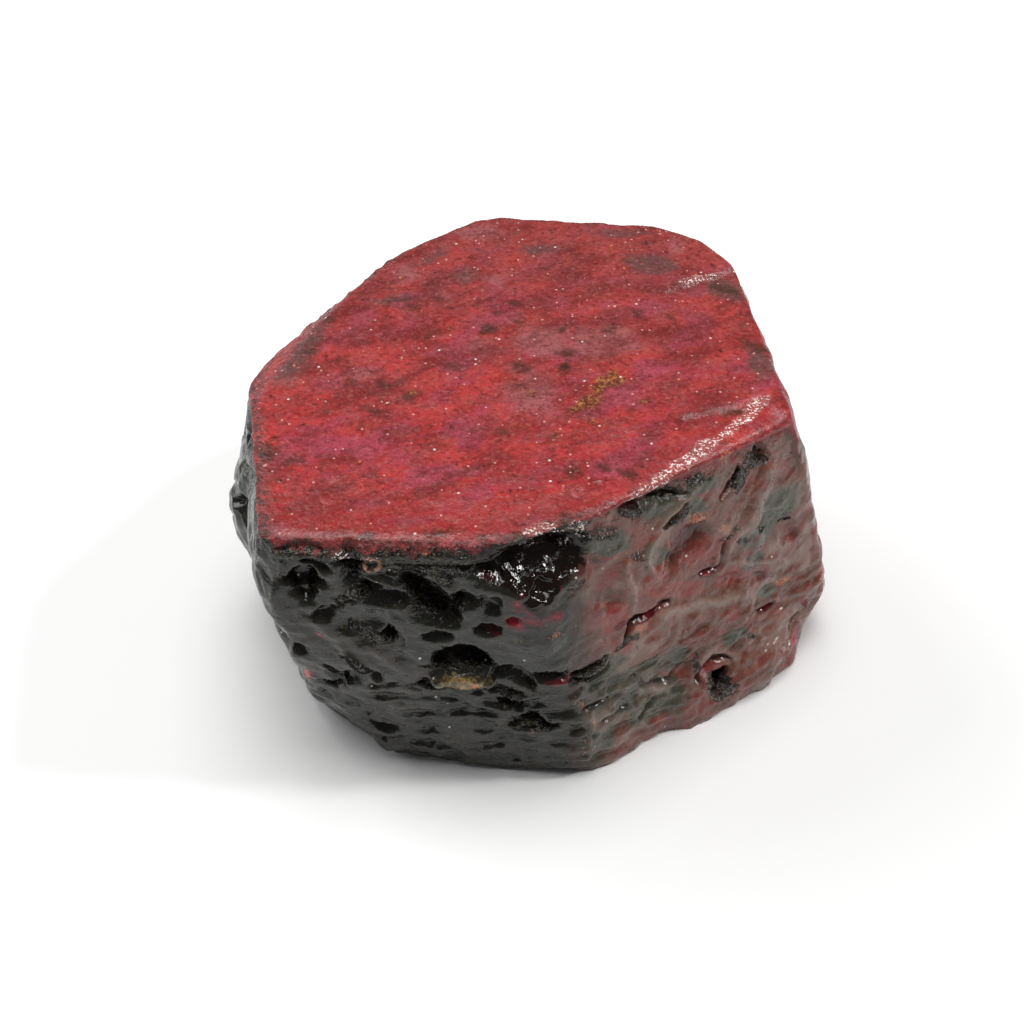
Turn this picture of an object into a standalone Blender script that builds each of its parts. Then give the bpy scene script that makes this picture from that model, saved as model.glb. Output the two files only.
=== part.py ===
"""A raw ruby crystal: a short six-sided prism with flat ends and deeply corroded sides.

One solid stone. Units are metres with +Z up. The stone lies on its flat lower end, and the
origin is on that end, below the middle of the stone.
"""

import math
import random
from collections import namedtuple

import bmesh
import bpy
import numpy as np
from mathutils import Vector, noise

MM = 0.001

# The prism: its height, and the plane of each face.
HEIGHT = 14.0 * MM
HALF_HEIGHT = HEIGHT / 2
ROUGH_BLOCK = 60.0 * MM

# azimuth: where the face looks, in degrees from +X. lean: how far it looks up, in degrees.
# reach: how far it is from the stone's axis at half the height, in millimetres.
Face = namedtuple("Face", "name azimuth lean reach")
FACES = (
    Face("front left side", -92, -1, 12.75),
    Face("front right side", -54, 8, 11.0),
    Face("right side", 7, 16, 13.05),
    Face("right side, lower", 5, 8, 13.4),
    Face("right foot", 0, -12, 15.4),
    Face("back right corner", 33, 5, 13.6),
    Face("back side", 84, 2, 12.6),
    Face("back left side", 129, 4, 11.8),
    Face("back left side, flatter", 145, 3, 10.85),
    Face("left corner, behind", 160, 8, 12.7),
    Face("left corner", -171, 11, 14.25),
    Face("left corner, lower", -160, -13, 13.8),
    Face("front left corner, undercut", -128, -26, 16.2),
    Face("front left side, undercut", -102, -12, 14.05),
    Face("front left corner", -140, 2, 16.4),
    Face("back left side, undercut", 145, -12, 11.85),
    Face("back side, undercut", 88, -14, 12.55),
    Face("chip in the front corner", -63, 16, 12.5),
    Face("worn rim at the left", 158, 70, 29.45),
    Face("worn rim at the front right", -52, 50, 17.95),
)

# The worn edges, and how fine the finished faces are.
VOXEL = 0.25 * MM
WEAR_PASSES = 14
TRIANGLES = 9400
FLATTENED = 0.04 * MM

# Hollows on the two front sides, in millimetres, to the nearest half. Each is a trough from one
# place on the side to another: across is along the side to the right, from the stone's axis, and
# up is the height. half_width is the trough's, and a negative depth is a raised plate.
FRONT_LEFT, FRONT_RIGHT = -92, -54
Hollow = namedtuple("Hollow", "name side across up to_across to_up half_width depth")
HOLLOWS = (
    Hollow("tall bowl at the left", FRONT_LEFT, -9.0, 12.5, -9.0, 10.5, 0.75, 0.95),
    Hollow("tall bowl beside it", FRONT_LEFT, -7.0, 13.0, -7.0, 10.0, 0.70, 0.55),
    Hollow("lens", FRONT_LEFT, -6.5, 11.5, -5.0, 11.0, 0.50, 0.60),
    Hollow("square hole", FRONT_LEFT, -5.5, 9.5, -5.0, 9.0, 0.55, 0.70),
    Hollow("channel from the rim", FRONT_LEFT, -4.5, 12.0, -3.0, 10.5, 0.50, 0.45),
    Hollow("short channel", FRONT_LEFT, -3.0, 11.5, -2.0, 11.0, 0.50, 0.45),
    Hollow("red hollow", FRONT_LEFT, -2.0, 10.0, -0.5, 9.5, 0.50, 0.55),
    Hollow("arch", FRONT_LEFT, -3.5, 7.5, -1.5, 8.0, 0.50, 0.80),
    Hollow("shelf below the arch", FRONT_LEFT, -3.5, 6.5, -1.5, 6.5, 0.50, 0.35),
    Hollow("second arch", FRONT_LEFT, -1.5, 6.5, 0.5, 6.0, 0.50, 0.60),
    Hollow("hollow at the corner", FRONT_LEFT, 0.5, 6.5, 2.0, 6.5, 0.42, 0.45),
    Hollow("low lens", FRONT_LEFT, -1.0, 4.5, 1.5, 4.0, 0.42, 0.40),
    Hollow("chip", FRONT_RIGHT, -7.0, 13.0, -3.0, 13.0, 1.20, 0.70),
    Hollow("wide dish", FRONT_RIGHT, -0.5, 10.0, 3.0, 9.0, 1.20, 0.50),
    Hollow("slanting groove", FRONT_RIGHT, -1.0, 7.5, -6.0, 6.0, 0.45, 0.45),
    Hollow("deep pit", FRONT_RIGHT, 2.0, 2.0, 3.0, 2.5, 0.60, 1.30),
    Hollow("gouge at the rim", FRONT_RIGHT, 4.0, 12.5, 3.0, 11.5, 0.45, 0.65),
    Hollow("tall panel", FRONT_RIGHT, -4.5, 12.0, -3.5, 7.5, 0.95, 0.35),
    Hollow("dish at the right", FRONT_RIGHT, 4.0, 11.0, 7.5, 11.0, 0.75, 0.25),
    Hollow("slit by the foot", FRONT_RIGHT, 7.5, 3.0, 6.0, 1.5, 0.42, 0.45),
    Hollow("middle plate", FRONT_RIGHT, -1.5, 6.0, 4.0, 4.5, 1.20, -0.35),
    Hollow("right plate", FRONT_RIGHT, 4.5, 8.5, 5.5, 10.5, 0.95, -0.25),
    Hollow("lump by the foot", FRONT_RIGHT, -4.5, 3.0, -2.5, 2.5, 0.60, -0.30),
    Hollow("foot plate", FRONT_RIGHT, 1.0, 0.5, 7.5, 1.0, 2.10, -0.65),
)

# Hollows on the other sides follow a rule: a few to each side, none alike.
OTHER_SIDES = (7, 33, 84, 137, 160, -171, -134)
HOLLOWS_A_SIDE = 7
SPREAD_ACROSS = 5.5
SEED = 11

# The ripples that corrosion left between the hollows, and the slight waves on the flat ends.
RIPPLE_SIZE = 2.3 * MM
RIPPLE_STRETCH = 1.5
RIPPLE_SLANT = 0.35
RIPPLE_DEPTH = 0.30 * MM
LUMP_SIZE = 5.0 * MM
LUMP_DEPTH = 0.24 * MM
SIDE_ALLOWANCE = 0.28 * MM
END_WAVE_SIZE = 4.0 * MM
END_WAVE_DEPTH = 0.12 * MM

# Growth steps on the top, in millimetres: the line from one point to another is a step's edge,
# and the top is lower by drop on the line's right.
Step = namedtuple("Step", "x y to_x to_y drop")
STEPS = (
    Step(6.5, 6.0, 10.0, 8.0, 0.18),
    Step(6.5, -4.0, 10.0, -2.5, 0.14),
)
STEP_WIDTH = 0.45 * MM
STEP_FADE = 2.5 * MM

STONE_COLOUR = (0.32, 0.025, 0.05, 1.0)
STONE_ROUGHNESS = 0.3


def clear_scene():
    for old in list(bpy.data.objects):
        bpy.data.objects.remove(old, do_unlink=True)


def face_normal(face):
    azimuth = math.radians(face.azimuth)
    lean = math.radians(face.lean)
    level = math.cos(lean)
    return Vector((level * math.cos(azimuth), level * math.sin(azimuth), math.sin(lean)))


def cut_face(block, place, normal):
    """Cuts the block at a plane, keeps what is behind it and closes the cut."""
    everything = block.verts[:] + block.edges[:] + block.faces[:]
    cut = bmesh.ops.bisect_plane(
        block, geom=everything, plane_co=place, plane_no=normal, clear_outer=True
    )
    rim = [item for item in cut["geom_cut"] if isinstance(item, bmesh.types.BMEdge)]
    bmesh.ops.edgeloop_fill(block, edges=rim)


def cut_prism():
    """The bare prism, with flat faces and sharp edges."""
    block = bmesh.new()
    bmesh.ops.create_cube(block, size=ROUGH_BLOCK)
    cut_face(block, Vector((0, 0, HEIGHT)), Vector((0, 0, 1)))
    cut_face(block, Vector((0, 0, 0)), Vector((0, 0, -1)))
    for face in FACES:
        azimuth = math.radians(face.azimuth)
        reach = face.reach * MM
        place = Vector((reach * math.cos(azimuth), reach * math.sin(azimuth), HALF_HEIGHT))
        cut_face(block, place, face_normal(face))
    bmesh.ops.recalc_face_normals(block, faces=block.faces)
    mesh = bpy.data.meshes.new("ruby_crystal")
    block.to_mesh(mesh)
    block.free()
    return mesh


def link_stone(mesh):
    collection = bpy.data.collections.new("raw_ruby_crystal")
    bpy.context.scene.collection.children.link(collection)
    stone = bpy.data.objects.new("ruby_crystal", mesh)
    collection.objects.link(stone)
    return stone


def apply_modifiers(stone):
    graph = bpy.context.evaluated_depsgraph_get()
    finished = bpy.data.meshes.new_from_object(stone.evaluated_get(graph))
    rough = stone.data
    stone.modifiers.clear()
    stone.data = finished
    bpy.data.meshes.remove(rough)


def wear_edges(stone):
    """Gives the prism an even fine mesh, and rounds its edges as wear does."""
    remesh = stone.modifiers.new("Even mesh", "REMESH")
    remesh.mode = "VOXEL"
    remesh.voxel_size = VOXEL
    wear = stone.modifiers.new("Worn edges", "SMOOTH")
    wear.factor = 0.5
    wear.iterations = WEAR_PASSES
    apply_modifiers(stone)


def read_vectors(collection, attribute):
    values = np.empty(len(collection) * 3)
    collection.foreach_get(attribute, values)
    return values.reshape(-1, 3)


def fade(low, high, value):
    share = np.clip((value - low) / (high - low), 0.0, 1.0)
    return share * share * (3.0 - 2.0 * share)


def other_hollows():
    """Hollows for the sides that have none of their own in the list, by a seeded rule."""
    draw = random.Random(SEED)
    hollows = []
    for side in OTHER_SIDES:
        for _ in range(HOLLOWS_A_SIDE):
            across = draw.uniform(-SPREAD_ACROSS, SPREAD_ACROSS)
            up = draw.uniform(2.0, 12.5)
            slope = draw.uniform(-0.4, 0.8)
            length = draw.uniform(0.4, 2.4)
            half_width = draw.uniform(0.5, 0.95)
            depth = draw.uniform(0.35, 0.75)
            end = (across + length, up + slope * length)
            hollows.append(Hollow("other", side, across, up, *end, half_width, depth))
    return hollows


def hollow_depth(hollow, points, normals):
    """How deep one hollow is at each point: a round-bottomed trough with a crisp rim."""
    azimuth = math.radians(hollow.side)
    outward = np.array((math.cos(azimuth), math.sin(azimuth), 0.0))
    along = np.array((-math.sin(azimuth), math.cos(azimuth), 0.0))
    place = np.stack([points @ along, points[:, 2]], axis=1)
    start = np.array((hollow.across, hollow.up)) * MM
    end = np.array((hollow.to_across, hollow.to_up)) * MM
    run = end - start
    share = np.clip((place - start) @ run / (run @ run), 0.0, 1.0)
    distance = np.linalg.norm(place - start - share[:, None] * run, axis=1)
    bowl = np.clip(1.0 - (distance / (hollow.half_width * MM)) ** 2, 0.0, 1.0)
    return hollow.depth * MM * bowl * fade(0.45, 0.75, normals @ outward)


def ripple_depth(points):
    """Shallow scallops that meet in ridges, stretched along the sides and slanting up them."""
    depths = np.empty(len(points))
    for index, (x, y, z) in enumerate(points):
        slanted = RIPPLE_STRETCH * (z - RIPPLE_SLANT * (x + y))
        place = Vector((x, y, slanted)) / RIPPLE_SIZE
        nearest = noise.voronoi(place)[0][0]
        depths[index] = max(0.0, 1.0 - 1.6 * nearest * nearest)
    return RIPPLE_DEPTH * depths


def wave_depth(points, size, depth):
    """Broad soft waves, from no depth to the full depth."""
    waves = [0.5 + 0.5 * noise.noise(Vector(point) / size) for point in points]
    return depth * np.array(waves)


def step_depth(step, points):
    """One growth step: it drops across its line, and fades out at its ends and further off."""
    start = np.array((step.x, step.y)) * MM
    run = np.array((step.to_x, step.to_y)) * MM - start
    length = np.linalg.norm(run)
    along = run / length
    right = np.array((along[1], -along[0]))
    place = points[:, :2] - start
    beside = place @ right
    beyond = np.abs(place @ along - length / 2) - length / 2
    drop = step.drop * MM * fade(0.0, STEP_WIDTH, beside)
    near = 1.0 - fade(STEP_WIDTH, STEP_FADE, beside)
    return drop * near * (1.0 - fade(0.0, STEP_WIDTH, beyond))


def corrode(stone):
    """Moves the surface inwards: hollows and ripples on the sides, slight waves on the top."""
    mesh = stone.data
    points = read_vectors(mesh.vertices, "co")
    normals = read_vectors(mesh.vertices, "normal")
    sunk = np.zeros(len(points))
    raised = np.zeros(len(points))
    for hollow in HOLLOWS + tuple(other_hollows()):
        depth = hollow_depth(hollow, points, normals)
        sunk = np.maximum(sunk, depth)
        raised = np.minimum(raised, depth)
    on_side = 1.0 - fade(0.3, 0.7, np.abs(normals[:, 2]))
    on_top = fade(0.8, 0.95, normals[:, 2])
    soft = ripple_depth(points) + wave_depth(points, LUMP_SIZE, LUMP_DEPTH) - SIDE_ALLOWANCE
    inward = sunk + raised + on_side * soft
    end_depth = wave_depth(points, END_WAVE_SIZE, END_WAVE_DEPTH)
    for step in STEPS:
        end_depth += step_depth(step, points)
    inward += on_top * end_depth
    points -= normals * inward[:, None]
    points[:, 2] = np.clip(points[:, 2], 0.0, HEIGHT)
    mesh.vertices.foreach_set("co", points.ravel())
    mesh.update()


def thin_mesh(stone):
    """Keeps the triangles where the surface bends, and drops them where it is flat."""
    stone.data.calc_loop_triangles()
    thinning = stone.modifiers.new("Fewer faces", "DECIMATE")
    thinning.ratio = TRIANGLES / len(stone.data.loop_triangles)
    thinning.use_collapse_triangulate = True
    apply_modifiers(stone)


def settle(stone):
    """Flattens the lower end exactly, and puts the origin on it below the middle."""
    mesh = stone.data
    points = read_vectors(mesh.vertices, "co")
    points[:, 2] -= points[:, 2].min()
    points[points[:, 2] < FLATTENED, 2] = 0.0
    middle = (points.min(axis=0) + points.max(axis=0)) / 2
    points[:, :2] -= middle[:2]
    mesh.vertices.foreach_set("co", points.ravel())
    mesh.update()


def add_material(stone):
    material = bpy.data.materials.new("ruby")
    material.use_nodes = True
    shader = material.node_tree.nodes["Principled BSDF"]
    shader.inputs["Base Color"].default_value = STONE_COLOUR
    shader.inputs["Roughness"].default_value = STONE_ROUGHNESS
    shader.inputs["Metallic"].default_value = 0.0
    stone.data.materials.append(material)


clear_scene()
ruby_crystal = link_stone(cut_prism())
wear_edges(ruby_crystal)
corrode(ruby_crystal)
thin_mesh(ruby_crystal)
settle(ruby_crystal)
add_material(ruby_crystal)
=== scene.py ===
"""The looks of a raw ruby crystal: one opaque, waxed, six-sided stone that lies on its flat base."""

import math
import random
from collections import namedtuple

import bpy
import numpy as np
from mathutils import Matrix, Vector, noise


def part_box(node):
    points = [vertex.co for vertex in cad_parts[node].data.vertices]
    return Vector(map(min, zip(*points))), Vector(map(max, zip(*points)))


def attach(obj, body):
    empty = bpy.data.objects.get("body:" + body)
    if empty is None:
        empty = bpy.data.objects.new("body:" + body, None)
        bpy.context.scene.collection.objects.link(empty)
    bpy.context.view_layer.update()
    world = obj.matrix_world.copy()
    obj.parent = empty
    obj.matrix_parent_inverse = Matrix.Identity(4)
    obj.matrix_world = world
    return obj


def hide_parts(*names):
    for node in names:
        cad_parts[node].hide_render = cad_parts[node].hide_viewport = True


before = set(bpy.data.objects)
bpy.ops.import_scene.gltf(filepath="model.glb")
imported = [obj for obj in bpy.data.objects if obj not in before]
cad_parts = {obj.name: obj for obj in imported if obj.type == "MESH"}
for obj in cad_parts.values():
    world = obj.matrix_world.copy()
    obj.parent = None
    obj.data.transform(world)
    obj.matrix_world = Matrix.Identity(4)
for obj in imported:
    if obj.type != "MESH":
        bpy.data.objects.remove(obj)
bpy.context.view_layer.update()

MM = 0.001

# ---------------------------------------------------------------------------------------------
# The camera looks down at the stone from the front, as one looks at a stone lying on a table.
# ---------------------------------------------------------------------------------------------
CAMERA_PLACE = Vector((-1.02, -58.96, 57.89)) * MM
CAMERA_TARGET = Vector((-1.02, -3.23, 7.7)) * MM
gaze = CAMERA_TARGET - CAMERA_PLACE
bpy.ops.object.camera_add(location=CAMERA_PLACE, rotation=gaze.to_track_quat("-Z", "Y").to_euler())
camera = bpy.context.object
camera.data.lens = 56.25
camera.data.sensor_width = 36.0
camera.data.clip_start = 1.0 * MM
bpy.context.scene.camera = camera

# ---------------------------------------------------------------------------------------------
# The stone: a short six-sided prism of corundum, with a red flat end above and below. It is one
# solid crystal. Its sides grew flat, and its corners broke and wore on the way down a river.
# The crystal's own faces are cut from a block here, one plane at a time.
# ---------------------------------------------------------------------------------------------
HEIGHT = 14.0
BLOCK_SIDE = 60.0

# azimuth: where the face looks, in degrees from +X. lean: how far it looks up, in degrees.
# reach: how far it is from the stone's axis at half the height, in millimetres.
Face = namedtuple("Face", "name azimuth lean reach")
SIDES = (
    Face("front left side", -92, -1, 12.75),
    Face("front right side", -54, 8, 11.0),
    Face("right side", 7, 16, 13.05),
    Face("right side, lower", 5, 8, 13.4),
    Face("right foot", 0, -12, 15.4),
    Face("back right corner", 33, 5, 13.6),
    Face("back side", 84, 2, 12.6),
    Face("back left side", 129, 4, 11.8),
    Face("back left side, flatter", 145, 3, 10.85),
    Face("left corner, behind", 160, 8, 12.7),
    Face("left corner", -171, 11, 14.25),
    Face("left corner, lower", -160, -13, 13.8),
    Face("front left corner, undercut", -128, -26, 16.2),
    Face("front left side, undercut", -102, -12, 14.05),
    Face("front left corner", -140, 2, 16.4),
    Face("back left side, undercut", 145, -12, 11.85),
    Face("back side, undercut", 88, -14, 12.55),
    Face("chip in the front corner", -63, 16, 12.5),
)
WORN = (
    Face("worn corner at the back right", 58, 5, 14.05),
    Face("worn foot at the right", -27, -15, 15.55),
    Face("worn corner at the back", 104, 3, 12.95),
)
RIMS = (
    Face("worn rim at the front left", -92, 42, 18.30),
    Face("worn rim at the left", 158, 70, 29.45),
    Face("worn rim at the front right", -52, 50, 17.95),
)


def bearing(degrees):
    """The level unit vectors that point out along an azimuth, and to the right across it."""
    angle = math.radians(degrees)
    outward = np.array((math.cos(angle), math.sin(angle), 0.0))
    across = np.array((-math.sin(angle), math.cos(angle), 0.0))
    return outward, across


def face_plane(face):
    """A place on the face and its normal, in millimetres."""
    outward, _ = bearing(face.azimuth)
    lean = math.radians(face.lean)
    normal = outward * math.cos(lean) + np.array((0, 0, math.sin(lean)))
    return outward * face.reach + np.array((0, 0, HEIGHT / 2)), normal


def cut(place, normal):
    bpy.ops.mesh.select_all(action="SELECT")
    bpy.ops.mesh.bisect(plane_co=place, plane_no=normal, use_fill=True, clear_outer=True)


def apply_modifier(piece, kind, **settings):
    modifier = piece.modifiers.new(kind.title(), kind)
    for name, value in settings.items():
        setattr(modifier, name, value)
    bpy.ops.object.modifier_apply(modifier=modifier.name)


bpy.ops.object.select_all(action="DESELECT")
bpy.ops.mesh.primitive_cube_add(size=BLOCK_SIDE * MM)
stone = bpy.context.object
stone.name = "ruby_stone"
bpy.ops.object.mode_set(mode="EDIT")
cut((0, 0, HEIGHT * MM), (0, 0, 1))
cut((0, 0, 0), (0, 0, -1))
for face in SIDES + WORN + RIMS:
    place, normal = face_plane(face)
    cut(place * MM, normal)
bpy.ops.mesh.select_all(action="SELECT")
bpy.ops.mesh.normals_make_consistent(inside=False)
bpy.ops.object.mode_set(mode="OBJECT")

# Wear has rounded the edges between the faces, on a coarse mesh first and then on a fine one.
COARSE_VOXEL, FINE_VOXEL = 0.25, 0.105
for voxel in (COARSE_VOXEL, FINE_VOXEL):
    apply_modifier(stone, "REMESH", mode="VOXEL", voxel_size=voxel * MM)
    apply_modifier(stone, "SMOOTH", factor=0.5, iterations=8)

# ---------------------------------------------------------------------------------------------
# The relief: corrosion ate hollows, slits and scallops into the sides, and left lobes and sharp
# crests between them. The flat ends have only a fine grain and two growth steps.
# ---------------------------------------------------------------------------------------------
LEFT, UNDERCUT, RIGHT, CHIP = -92, -102, -54, -63

# A mark follows a path on one side of the stone. Each point is (across, up) in millimetres, to the
# nearest half: across is along the side to the right, from the stone's axis, and up is the height.
Mark = namedtuple("Mark", "side half_width depth path")
HOLLOWS = (
    # The front left side: smooth black bowls, lenses and arches.
    Mark(LEFT, 0.15, 0.20, ((-10.0, 13.5), (-8.0, 13.5))),
    Mark(LEFT, 0.35, 0.32, ((-9.0, 13.0), (-8.0, 12.5))),
    Mark(LEFT, 0.95, 0.90, ((-9.0, 12.0), (-9.0, 11.5))),
    Mark(LEFT, 0.60, 0.50, ((-9.0, 11.5), (-9.0, 11.0))),
    Mark(LEFT, 0.55, 0.40, ((-7.0, 13.5), (-7.0, 12.5))),
    Mark(LEFT, 0.55, 0.52, ((-7.0, 13.0), (-7.0, 12.0), (-6.5, 11.5), (-5.0, 11.0))),
    Mark(LEFT, 0.12, 0.16, ((-6.5, 12.5), (-5.0, 12.0))),
    Mark(LEFT, 1.00, 0.22, ((-7.5, 9.5), (-6.0, 10.0))),
    Mark(LEFT, 0.40, 0.65, ((-5.5, 9.5), (-5.5, 9.0))),
    Mark(LEFT, 0.11, 0.16, ((-5.0, 9.5), (-5.0, 8.5))),
    Mark(LEFT, 0.33, 0.38, ((-4.0, 9.0), (-3.0, 9.0))),
    Mark(LEFT, 0.55, 0.80, ((-3.5, 7.5), (-2.5, 8.0), (-1.5, 7.5))),
    Mark(LEFT, 0.36, 0.45, ((-1.5, 6.5), (-0.5, 7.0), (0.5, 6.0))),
    Mark(LEFT, 0.28, 0.42, ((0.5, 6.5), (2.0, 6.5))),
    Mark(LEFT, 0.30, 0.28, ((-6.5, 6.0), (-5.5, 6.0))),
    Mark(LEFT, 0.10, 0.16, ((-3.5, 4.0), (-1.0, 4.0))),
    Mark(LEFT, 0.25, 0.42, ((-1.0, 5.0), (0.0, 4.5))),
    Mark(LEFT, 0.22, 0.38, ((-0.5, 4.0), (1.5, 3.5))),
    Mark(LEFT, 0.60, 0.38, ((-2.0, 12.5), (-1.0, 12.0))),
    Mark(LEFT, 0.90, 0.66, ((-4.5, 12.0), (-4.0, 11.0), (-3.0, 10.0))),
    Mark(LEFT, 0.52, 0.46, ((-3.0, 11.0), (-2.0, 11.0))),
    Mark(LEFT, 0.52, 0.42, ((-1.5, 11.0), (-1.0, 10.5))),
    Mark(LEFT, 0.36, 0.44, ((-2.0, 9.5), (-1.0, 9.5))),
    Mark(LEFT, 0.16, 0.26, ((-0.5, 10.0), (0.0, 10.0))),
    Mark(UNDERCUT, 0.18, 0.30, ((-6.0, 6.5), (-5.5, 5.5))),
    # The chip in the front corner.
    Mark(CHIP, 1.00, 0.34, ((-7.0, 13.0), (-5.0, 12.5), (-3.5, 13.0))),
    Mark(CHIP, 0.55, 0.35, ((-5.0, 11.5), (-5.0, 11.0))),
    # The front right side: wide shallow dishes, with grooves and cracks at their edges.
    Mark(RIGHT, 1.05, 0.26, ((-4.0, 11.0), (-3.5, 9.0))),
    Mark(RIGHT, 1.30, 0.36, ((0.0, 9.5), (1.5, 10.0))),
    Mark(RIGHT, 0.20, 0.32, ((3.0, 9.0), (2.5, 8.0), (1.5, 8.0))),
    Mark(RIGHT, 0.50, 0.11, ((-3.0, 6.0), (-2.0, 7.0), (-0.5, 7.5), (1.5, 7.5), (5.0, 6.0))),
    Mark(RIGHT, 0.28, 0.52, ((-0.5, 7.5), (-2.5, 7.5), (-3.0, 6.5))),
    Mark(RIGHT, 0.15, 0.36, ((-4.0, 6.5), (-6.0, 6.0))),
    Mark(RIGHT, 0.14, 0.40, ((1.0, 12.0), (-0.5, 11.5))),
    Mark(RIGHT, 0.22, 0.50, ((4.0, 12.5), (3.0, 11.5))),
    Mark(RIGHT, 0.45, 0.30, ((5.0, 13.0), (5.5, 12.5))),
    Mark(RIGHT, 0.80, 0.22, ((5.0, 9.0), (6.0, 8.5), (7.0, 7.5))),
    Mark(RIGHT, 0.20, 0.36, ((7.5, 2.5), (6.0, 1.5))),
    Mark(RIGHT, 0.16, 0.26, ((5.0, 4.0), (6.0, 4.0))),
    Mark(RIGHT, 0.55, 1.25, ((2.0, 1.5), (2.5, 2.0))),
    Mark(RIGHT, 0.20, 0.36, ((1.0, 2.0), (1.0, 2.5), (2.0, 3.0), (3.0, 2.5))),
    Mark(RIGHT, 0.22, 0.30, ((-2.5, 4.5), (-2.0, 3.5), (-0.5, 3.0), (0.5, 3.5))),
    Mark(RIGHT, 0.15, 0.32, ((-5.5, 4.0), (-4.0, 4.0))),
    Mark(RIGHT, 0.14, 0.30, ((-6.0, 6.0), (-5.0, 5.5), (-4.0, 6.0))),
    Mark(RIGHT, 0.16, 0.26, ((-4.5, 3.0), (-3.0, 3.0))),
    Mark(RIGHT, 0.16, 0.22, ((-2.5, 1.5), (-1.5, 2.5))),
    Mark(RIGHT, 0.30, 0.20, ((-2.5, 13.5), (-0.5, 13.0), (1.0, 12.5))),
)

# Lobes stand out between the hollows, and crests are thin sharp lines with a pale grey painted highlight.
LOBES = (
    Mark(-171, 1.20, 0.50, ((3.0, 11.0), (3.0, 10.0))),
    Mark(-171, 1.60, 0.35, ((3.0, 9.5), (3.0, 7.5))),
    Mark(LEFT, 0.50, 0.14, ((-8.0, 13.0), (-8.0, 11.5), (-8.5, 10.5))),
    Mark(LEFT, 0.40, 0.22, ((-6.5, 12.5), (-5.5, 11.5))),
    Mark(LEFT, 0.60, 0.50, ((-3.5, 6.5), (-1.5, 6.5))),
    Mark(LEFT, 1.30, 0.22, ((-6.5, 7.5), (-6.0, 7.0))),
    Mark(LEFT, 0.90, 0.14, ((0.5, 8.5), (1.0, 8.5))),
    Mark(RIGHT, 1.45, 0.28, ((-1.0, 5.5), (3.5, 5.0))),
    Mark(RIGHT, 0.60, 0.18, ((5.5, 11.5), (4.5, 9.5))),
    Mark(RIGHT, 0.35, 0.16, ((-5.5, 5.0), (-4.5, 4.5))),
    Mark(RIGHT, 0.40, 0.16, ((-5.0, 3.5), (-4.0, 3.5))),
    Mark(RIGHT, 0.40, 0.16, ((-4.5, 2.5), (-2.5, 2.5))),
    Mark(RIGHT, 2.10, 0.65, ((1.0, 0.5), (6.0, 1.0))),
)
CRESTS = (
    Mark(LEFT, 0.24, 0.10, ((-7.5, 8.5), (-6.0, 8.5), (-5.0, 7.0))),
    Mark(LEFT, 0.22, 0.10, ((-9.0, 10.5), (-7.5, 8.0), (-6.0, 6.0), (-4.5, 5.5))),
    Mark(RIGHT, 0.17, 0.10, ((-2.5, 10.5), (-2.5, 8.0))),
    Mark(RIGHT, 0.16, 0.10, ((-0.5, 11.5), (-1.5, 10.5), (-1.0, 9.0))),
    Mark(RIGHT, 0.20, 0.12, ((-3.0, 6.0), (-2.0, 6.5), (-0.5, 7.0), (1.5, 6.5), (4.5, 5.5))),
    Mark(RIGHT, 0.20, 0.14, ((4.5, 10.0), (3.5, 9.0), (2.5, 8.0))),
    Mark(RIGHT, 0.16, 0.10, ((-1.0, 11.5), (0.0, 12.0), (1.5, 12.5))),
    Mark(RIGHT, 0.17, 0.12, ((2.5, 2.5), (4.5, 3.0), (7.0, 3.5))),
    Mark(RIGHT, 0.17, 0.10, ((4.0, 0.5), (6.0, 1.0), (7.0, 2.0))),
    Mark(RIGHT, 0.18, 0.14, ((0.5, 2.0), (1.0, 3.0), (2.0, 3.5), (3.5, 2.5))),
    Mark(RIGHT, 0.12, 0.08, ((-6.0, 5.0), (-5.0, 3.0), (-5.5, 1.0))),
    Mark(RIGHT, 0.16, 0.08, ((-2.5, 4.5), (-1.5, 3.0), (0.0, 2.5))),
    Mark(RIGHT, 0.16, 0.08, ((2.5, 8.0), (4.0, 7.5), (7.0, 6.0))),
)

# The sides that look away have marks of the same kinds, laid out by a seeded rule. So are the
# small pits low on the front left side.
OTHER_SIDES = (7, 33, 84, 137, 160, -171, -134)
HOLLOWS_A_SIDE = 12
SMALL_PITS = 30
HOLLOW_SEED = 23


def read_vectors(collection, attribute):
    values = np.empty(len(collection) * 3, np.float32)
    collection.foreach_get(attribute, values)
    return values.reshape(-1, 3).astype(float)


def fade(low, high, value):
    share = np.clip((value - low) / (high - low), 0.0, 1.0)
    return share * share * (3.0 - 2.0 * share)


def soft_noise(points, size):
    """Smooth noise of about -0.5 to 0.5, with waves of a size in millimetres."""
    return np.array([noise.noise(Vector(point) / size) for point in points])


def other_hollows():
    draw = random.Random(HOLLOW_SEED)
    marks = []
    for _ in range(SMALL_PITS):
        across = draw.uniform(-7.5, 2.5)
        up = draw.uniform(0.8, 6.6)
        length = draw.uniform(0.15, 0.9)
        path = ((across, up), (across + length, up + draw.uniform(-0.1, 0.1)))
        marks.append(Mark(LEFT, draw.uniform(0.09, 0.22), draw.uniform(0.12, 0.26), path))
    for side in OTHER_SIDES:
        for _ in range(HOLLOWS_A_SIDE):
            across = draw.uniform(-5.5, 5.5)
            up = draw.uniform(1.5, 12.8)
            slope = draw.uniform(-0.4, 0.8)
            length = draw.uniform(0.3, 2.2)
            middle = (across + length / 2, up + slope * length / 2 + draw.uniform(-0.2, 0.2))
            path = ((across, up), middle, (across + length, up + slope * length))
            marks.append(Mark(side, draw.uniform(0.25, 0.75), draw.uniform(0.25, 0.65), path))
    return marks


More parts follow.
